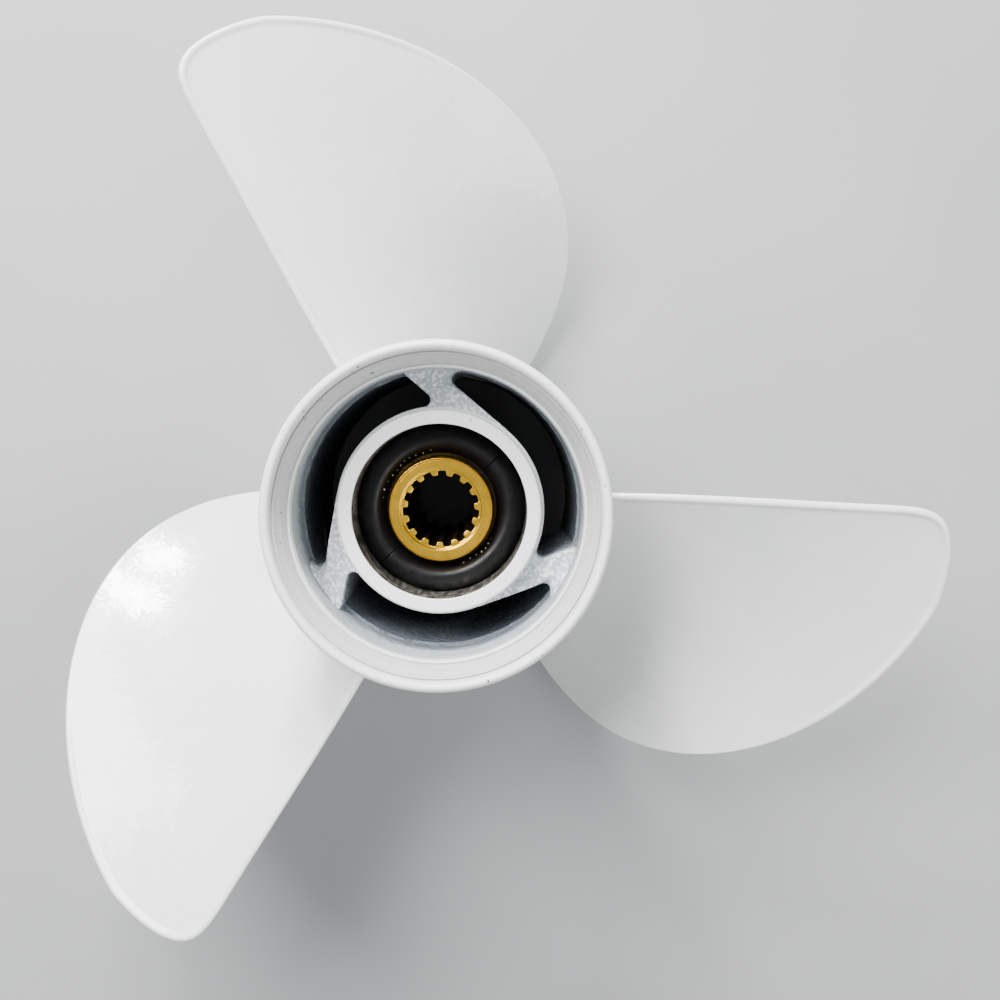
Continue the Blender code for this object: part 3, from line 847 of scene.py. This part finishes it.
def add_rib(number):
    """A rib lofted from the hub to the barrel, its aft face climbing the barrel's wall."""
    long_side, short_side = (polar(side) for side in rib_sides())
    share = crowded(RIB_ACROSS, RIB_CROWDING)[None, :]
    radius = long_side[:, :1] * (1.0 - share) + short_side[:, :1] * share
    angle = long_side[:, 1:] * (1.0 - share) + short_side[:, 1:] * share
    width = np.hypot(
        long_side[:, 0] * np.cos(long_side[:, 1]) - short_side[:, 0] * np.cos(short_side[:, 1]),
        long_side[:, 0] * np.sin(long_side[:, 1]) - short_side[:, 0] * np.sin(short_side[:, 1]),
    )[:, None]
    edge = np.minimum(share, 1.0 - share) * width
    outwards = np.linspace(0.0, 1.0, len(long_side))
    corner = smooth_step(outwards, RIB_CORNER_START, RIB_CORNER_END)[:, None]
    edge_round = RIB_EDGE_ROUND + (RIB_CORNER_ROUND - RIB_EDGE_ROUND) * corner * (share < 0.5)
    drop = edge_round * (1.0 - round_share(edge, edge_round))
    climb = fillet_rise(BARREL_WALL_RADIUS - radius, RIB_WALL_FILLET)
    top = HUB_SHOULDER_Z - drop + climb
    down = np.linspace(0.0, 1.0, RIB_LEVELS)[1:]
    columns = [(radius, angle, top)]
    for part in down:
        level = top[:, -1:] + (RIB_FORWARD_Z - top[:, -1:]) * part
        columns.append((radius[:, -1:], angle[:, -1:], level))
    bottom = slice(-2, 0, -5)  # few points across the hidden forward end
    columns.append((
        radius[:, bottom], angle[:, bottom], np.full_like(radius[:, bottom], RIB_FORWARD_Z)
    ))
    for part in down[::-1]:
        level = top[:, :1] + (RIB_FORWARD_Z - top[:, :1]) * part
        columns.append((radius[:, :1], angle[:, :1], level))
    radius, angle, z = (np.concatenate([c[i] for c in columns], axis=1) for i in range(3))
    sink = np.zeros((len(radius), 1))
    sink[0] = -OVERLAP
    sink[-1] = OVERLAP
    radius = radius + sink
    whole = angle + RIB_NORMAL_ANGLE + TURN * (number - 1)
    points = cartesian(radius, whole, z)
    lumps = RIB_LUMP_DEPTH * bumps(points, RIB_LUMP_SIZE, 31.0 + number)
    points[..., 2] += lumps * (points[..., 2] > RIB_FORWARD_Z + 0.001)
    rows, ring = points.shape[:2]
    faces = ring_faces(rows, ring, False)
    faces.append(list(range(ring))[::-1])
    faces.append(list(range((rows - 1) * ring, rows * ring)))
    flat = points.reshape(-1, 3)
    faces = outward(flat, faces)
    nodes = (f"rib_{number}",)
    zones = np.zeros(len(faces))
    add_mesh(f"rib_skin_{number}", flat, faces, zones, [RIB_FACE], "casting", nodes)


# ---------------------------------------------------------------- blades

def leading_angle(radius):
    fullness = 1.0 - (radius / TIP_RADIUS) ** LEADING_FULLNESS
    return BLADE_TIP_ANGLE - LEADING_SWEEP * np.maximum(0.0, fullness) ** LEADING_POWER


def trailing_angle(radius):
    share = (TIP_RADIUS - radius) / (TIP_RADIUS - BARREL_WAIST_RADIUS)
    root = TRAILING_ROOT_ANGLE * np.maximum(0.0, share) ** TRAILING_STRAIGHTNESS
    corner = 1.0 - (radius / TIP_RADIUS) ** TRAILING_CORNER_SHARPNESS
    return BLADE_TIP_ANGLE + (TRAILING_ANGLE + root) * np.sqrt(np.maximum(0.0, corner))


def blade_thickness(span, chord):
    crown = TIP_THICKNESS + (ROOT_THICKNESS - TIP_THICKNESS) * (1.0 - span) ** THICKNESS_TAPER
    fade = 1.0 - span**8
    bulge = np.sin(math.pi * np.clip(chord, 0.0, 1.0))
    return EDGE_THICKNESS + (crown - EDGE_THICKNESS) * fade * bulge


def blade_places(span, chord, offset):
    """Radius, angle and z of points at this offset behind a blade's aft face."""
    z = np.full_like(chord, BLADE_REFERENCE_Z)
    for _ in range(8):
        root = barrel_radius(z) - OVERLAP
        radius = root + (TIP_RADIUS - root) * span
        leading = leading_angle(radius)
        angle = leading + (trailing_angle(radius) - leading) * chord
        aft_z = (
            BLADE_REFERENCE_Z
            + RAKE_SLOPE * (radius - BLADE_REFERENCE_RADIUS)
            + PITCH * (angle - BLADE_REFERENCE_ANGLE) / (2 * math.pi)
        )
        droop = np.exp(-(((radius - LEADING_DROOP_RADIUS) / LEADING_DROOP_WIDTH) ** 2))
        aft_z -= LEADING_DROOP * droop * (1.0 - chord) ** 2
        slope = np.arctan2(PITCH, 2 * math.pi * radius)
        z = aft_z - offset * np.cos(slope)
    return radius, angle + offset * np.sin(slope) / radius, z


def distance_to_line(points, line):
    """Distance from each point to the nearest stretch of a polyline."""
    start, step = line[:-1], np.diff(line, axis=0)
    length = np.maximum((step**2).sum(axis=1), 1e-18)
    nearest = np.empty(points.shape[:-1])
    for row in range(len(points)):
        away = points[row][:, None, :] - start[None]
        share = np.clip((away * step).sum(axis=2) / length, 0.0, 1.0)
        gap = away - share[..., None] * step
        nearest[row] = np.sqrt((gap**2).sum(axis=2).min(axis=1))
    return nearest


def add_blade(number):
    """A blade as one closed shell: round edges, a raised trailing lip and a root fillet."""
    even = np.linspace(0.0, 1.0, BLADE_SPAN_STEPS + 1)
    spans = 0.5 - 0.5 * np.cos(math.pi * even)
    chords = crowded(BLADE_CHORD_STEPS)
    chord, span = np.meshgrid(chords, spans)
    half = 0.5 * blade_thickness(span, chord)
    radius, angle, z = blade_places(span, chord, half)
    flare = fillet_rise(radius - barrel_radius(z), ROOT_FILLET)
    reach = np.hypot(radius, PITCH / (2 * math.pi))
    length = np.maximum((trailing_angle(radius) - leading_angle(radius)) * reach, 1e-6)
    wide = chord + (2.0 * chord - 1.0) * flare / length
    middle = cartesian(*blade_places(span, wide, half))
    outline = np.concatenate([middle[:, 0], middle[::-1, -1]])
    edge = distance_to_line(middle, outline)
    edge[:, 0] = 0.0
    edge[:, -1] = 0.0
    edge[-1] = 0.0
    share = round_share(edge, EDGE_ROUND + flare)
    lip_side = np.maximum(smooth_step(chord, *LIP_CHORD_RANGE), smooth_step(span, *LIP_TIP_RANGE))
    bump = np.sin(math.pi * np.clip(edge / TRAILING_LIP_WIDTH, 0.0, 1.0)) ** 2
    lip = TRAILING_LIP_HEIGHT * bump * lip_side * smooth_step(span, *LIP_ROOT_RANGE)
    aft = blade_places(span, wide, half - (half + flare) * share - lip)
    back = blade_places(span, wide, half + (half + flare) * share)
    ring = [np.concatenate([a, b[:, -2:0:-1]], axis=1) for a, b in zip(aft, back)]
    points = cartesian(ring[0], ring[1] + TURN * (number - 1), ring[2])
    rows, columns = points.shape[:2]
    flat = points.reshape(-1, 3)
    faces = ring_faces(rows, columns, False)
    faces.append(list(range(columns))[::-1])
    flat, faces = close_tip(flat, faces, (rows - 1) * columns)
    faces = outward(flat, faces)
    nodes = (f"blade_{number}",)
    zones = np.zeros(len(faces))
    paint = [STREAKED_GLOSS if number == STREAKED_BLADE else GLOSS]
    add_mesh(f"blade_skin_{number}", flat, faces, zones, paint, "casting", nodes)


def close_tip(points, faces, first):
    """Draws the last ring, which is a single place, together into one point."""
    closed = []
    for face in faces:
        drawn = []
        for corner in face:
            corner = min(corner, first)
            if corner not in drawn:
                drawn.append(corner)
        if len(drawn) > 2:
            closed.append(drawn)
    return points[: first + 1], closed


# ---------------------------------------------------------------- rubber bush

def add_bush():
    """The rubber bush, whose aft end is a bead round a valley by the sleeve."""
    quarter = np.linspace(0.0, 0.5 * math.pi, 16)
    rise = BUSH_CREST_Z - BUSH_AFT_EDGE_Z
    reach = BUSH_OUTER_RADIUS - BUSH_CREST_RADIUS
    bead = [
        (BUSH_CREST_RADIUS + reach * math.cos(t), BUSH_AFT_EDGE_Z + rise * math.sin(t))
        for t in quarter
    ]
    fall = BUSH_CREST_Z - BUSH_VALLEY_Z
    reach = BUSH_CREST_RADIUS - BUSH_VALLEY_RADIUS
    bead += [
        (BUSH_CREST_RADIUS - reach * math.sin(t), BUSH_VALLEY_Z + fall * math.cos(t))
        for t in quarter[1:]
    ]
    rest = round_corners([
        bead[-1],
        (BUSH_INNER_RADIUS, BUSH_VALLEY_Z - BUSH_LIP_DROP, 0.0),
        (BUSH_INNER_RADIUS, BUSH_FORWARD_Z, BUSH_INNER_ROUND),
        (BUSH_OUTER_RADIUS, BUSH_FORWARD_Z, BUSH_OUTER_ROUND),
        bead[0],
    ], spacing=0.0030)[1:-1]
    angles = [even_angles(BUSH_STATIONS)]
    for parting in PARTING_ANGLES:
        angles.append(parting + np.linspace(-0.03, 0.03, 15))
    angles = np.unique(np.round(np.concatenate(angles), 6))

    def relief(radius, z, angle, zones):
        """Two thin mould parting lines across the bead."""
        on_bead = zones == 0
        for parting in PARTING_ANGLES:
            line = np.exp(-(((angle - parting) * BUSH_CREST_RADIUS / PARTING_WIDTH) ** 2))
            z = z - PARTING_DEPTH * line * on_bead
        return radius, z

    points, faces, zones = turned([(0, bead), (1, rest)], angles, relief)
    nodes = ("damper_bush",)
    zones = np.zeros(len(faces))
    add_mesh("bush_skin", points, faces, zones, [RUBBER], "casting", nodes)


def bead_level(radius):
    """Height of the bush's surface between its valley and its crest."""
    inward = (BUSH_CREST_RADIUS - radius) / (BUSH_CREST_RADIUS - BUSH_VALLEY_RADIUS)
    return BUSH_VALLEY_Z + (BUSH_CREST_Z - BUSH_VALLEY_Z) * math.sqrt(1.0 - inward**2)


def nib(angle, radius, size):
    """Points and faces of a half ball on the bush, whose root goes down into the rubber."""
    centre = np.array([radius * math.cos(angle), radius * math.sin(angle), bead_level(radius)])
    points = []
    for ring in range(NIB_RINGS):
        lift = 0.5 * math.pi * ring / NIB_RINGS
        out = size * math.cos(lift)
        height = size * math.sin(lift) - NIB_ROOT * (ring == 0)
        for turn in even_angles(NIB_SIDES):
            points.append(centre + (out * math.cos(turn), out * math.sin(turn), height))
    points.append(centre + (0.0, 0.0, size))
    faces = [list(range(NIB_SIDES))[::-1]]
    faces += ring_faces(NIB_RINGS, NIB_SIDES, False)
    last = NIB_SIDES * (NIB_RINGS - 1)
    for side in range(NIB_SIDES):
        faces.append([last + side, last + (side + 1) % NIB_SIDES, NIB_SIDES * NIB_RINGS])
    return points, faces


def add_nibs():
    """Small moulding nibs in the bush's valley, as two loose rows."""
    nib_points = []
    nib_faces = []
    for start, end, count in NIB_ROWS:
        for step in range(count):
            drift = 2.0 * math.sin(7 * step)
            angle = math.radians(start + (end - start) * step / (count - 1) + drift)
            radius = NIB_RADIUS + 0.0003 * math.sin(5 * step)
            size = NIB_SIZE + 0.00010 * math.sin(3 * step)
            points, faces = nib(angle, radius, size)
            base = len(nib_points)
            nib_points += points
            nib_faces += [[base + corner for corner in face] for face in faces]
    points = np.array(nib_points)
    zones = np.zeros(len(nib_faces))
    add_mesh("bush_nibs", points, nib_faces, zones, [NIB_RUBBER], "casting", ())


# ---------------------------------------------------------------- brass sleeve

def spline_radius(angle):
    """Inner radius of the spline, with slightly domed teeth and sloping flanks."""
    pitch = 2 * math.pi / SPLINE_TEETH
    from_tooth = np.abs((angle - SPLINE_START_ANGLE + 0.5 * pitch) % pitch - 0.5 * pitch) / pitch
    flank = smooth_step(from_tooth, SPLINE_TIP_SHARE, 0.5 - SPLINE_SPACE_SHARE)
    dome = SPLINE_TIP_DOME * np.clip(from_tooth / SPLINE_TIP_SHARE, 0.0, 1.0) ** 2
    inner = SPLINE_MINOR_RADIUS + dome
    return inner + (SPLINE_MAJOR_RADIUS - inner) * flank


def add_sleeve():
    """The brass sleeve: bright turned face and a splined bore darkened with painted shade."""
    pitch = 2 * math.pi / SPLINE_TEETH
    half = np.array([0.0, 0.08, 0.13, 0.16, 0.18, 0.20, 0.22, 0.24, 0.26, 0.28, 0.31, 0.38, 0.46])
    shares = np.unique(np.concatenate([-half, half]))  # crowded on the flanks
    teeth = [SPLINE_START_ANGLE + pitch * (tooth + shares) for tooth in range(SPLINE_TEETH)]
    angles = np.concatenate(teeth)
    floor = SLEEVE_AFT_Z - COUNTERBORE_DEPTH
    line_radius = SLEEVE_RADIUS - SLEEVE_LINE_INSET
    shell = round_corners([
        (SLEEVE_RADIUS - SLEEVE_FORWARD_CHAMFER, SLEEVE_FORWARD_Z, 0.0),
        (SLEEVE_RADIUS, SLEEVE_FORWARD_Z + SLEEVE_FORWARD_CHAMFER, 0.0),
        (SLEEVE_RADIUS, SLEEVE_AFT_Z - SLEEVE_AFT_CHAMFER_FALL, 0.0001),
        (SLEEVE_RADIUS - SLEEVE_AFT_CHAMFER, SLEEVE_AFT_Z, 0.0001),
        (line_radius + SLEEVE_LINE_HALF_WIDTH, SLEEVE_AFT_Z, 0.0),
        (line_radius, SLEEVE_AFT_Z - SLEEVE_LINE_DEPTH, 0.0),
        (line_radius - SLEEVE_LINE_HALF_WIDTH, SLEEVE_AFT_Z, 0.0),
        (COUNTERBORE_RADIUS, SLEEVE_AFT_Z, 0.0003),
        (COUNTERBORE_RADIUS - COUNTERBORE_SLOPE, floor, 0.0002),
        (SPLINE_MAJOR_RADIUS + SPLINE_CLEARANCE, floor, 0.0),
    ], spacing=0.0030)
    depths = [0.0, 0.00005, 0.00018, SPLINE_LEAD_IN]
    depths += [0.002, 0.006, 0.015, 0.030, 0.045, floor - SLEEVE_FORWARD_Z - 0.0005]
    bore = [(SPLINE_MINOR_RADIUS, floor - depth) for depth in depths]
    bore.append((SPLINE_MINOR_RADIUS, SLEEVE_FORWARD_Z))

    def relief(radius, z, angle, zones):
        """Cuts the teeth, with a small round at their aft edges."""
        bored = zones == 1
        inner = spline_radius(angle[:, bored])
        below = floor - z[:, bored]
        lead_in = SPLINE_LEAD_IN * (1.0 - round_share(below, SPLINE_LEAD_IN))
        radius[:, bored] = inner + lead_in
        return radius, z

    points, faces, zones = turned([(0, shell), (1, bore)], angles, relief)
    front = points[np.array(faces)][..., 2].mean(axis=1) > floor - SPLINE_FACE_DEPTH
    zones = np.where(front, 0, zones)
    nodes = ("splined_sleeve",)
    materials = [BRASS, BORE_SHADE_BRASS]
    add_mesh("sleeve_skin", points, faces, zones, materials, "sleeve", nodes, 28.0)


# ---------------------------------------------------------------- stage, lights, camera

def add_floor():
    """A wide plain floor at the forward end of the casting."""
    mesh = bpy.data.meshes.new("floor")
    side = FLOOR_HALF_SIDE
    corners = [(-side, -side, 0.0), (side, -side, 0.0), (side, side, 0.0), (-side, side, 0.0)]
    mesh.from_pydata(corners, [], [(0, 1, 2, 3)])
    mesh.materials.append(floor_finish())
    floor = bpy.data.objects.new("floor", mesh)
    bpy.context.scene.collection.objects.link(floor)


def add_area_light(name, place_at, aim, width, height, power):
    light = bpy.data.lights.new(name, "AREA")
    light.shape = "RECTANGLE"
    light.size = width
    light.size_y = height
    light.energy = power
    lamp = bpy.data.objects.new(name, light)
    away = Vector(place_at) - Vector(aim)
    facing = away.to_track_quat("Z", "Y").to_matrix().to_4x4()
    lamp.matrix_world = Matrix.Translation(place_at) @ facing
    bpy.context.scene.collection.objects.link(lamp)


def add_world():
    world = bpy.data.worlds.new("studio")
    world.use_nodes = True
    background = world.node_tree.nodes["Background"]
    background.inputs["Color"].default_value = SKY_COLOUR
    background.inputs["Strength"].default_value = SKY_STRENGTH
    bpy.context.scene.world = world


def add_camera():
    camera = bpy.data.cameras.new("camera")
    camera.lens = CAMERA_LENS
    camera.sensor_width = 36.0
    viewer = bpy.data.objects.new("camera", camera)
    tilt = Matrix.Rotation(CAMERA_TILT, 4, "X") @ Matrix.Rotation(CAMERA_YAW, 4, "Y")
    viewer.matrix_world = Matrix.Translation(CAMERA_PLACE) @ tilt.inverted()
    bpy.context.scene.collection.objects.link(viewer)
    bpy.context.scene.camera = viewer


add_camera()
add_world()
for light_values in LIGHTS:
    add_area_light(*light_values)
add_floor()
add_barrel()
add_hub()
for place_number in range(1, BLADE_COUNT + 1):
    add_rib(place_number)
    add_blade(place_number)
add_bush()
add_nibs()
add_sleeve()
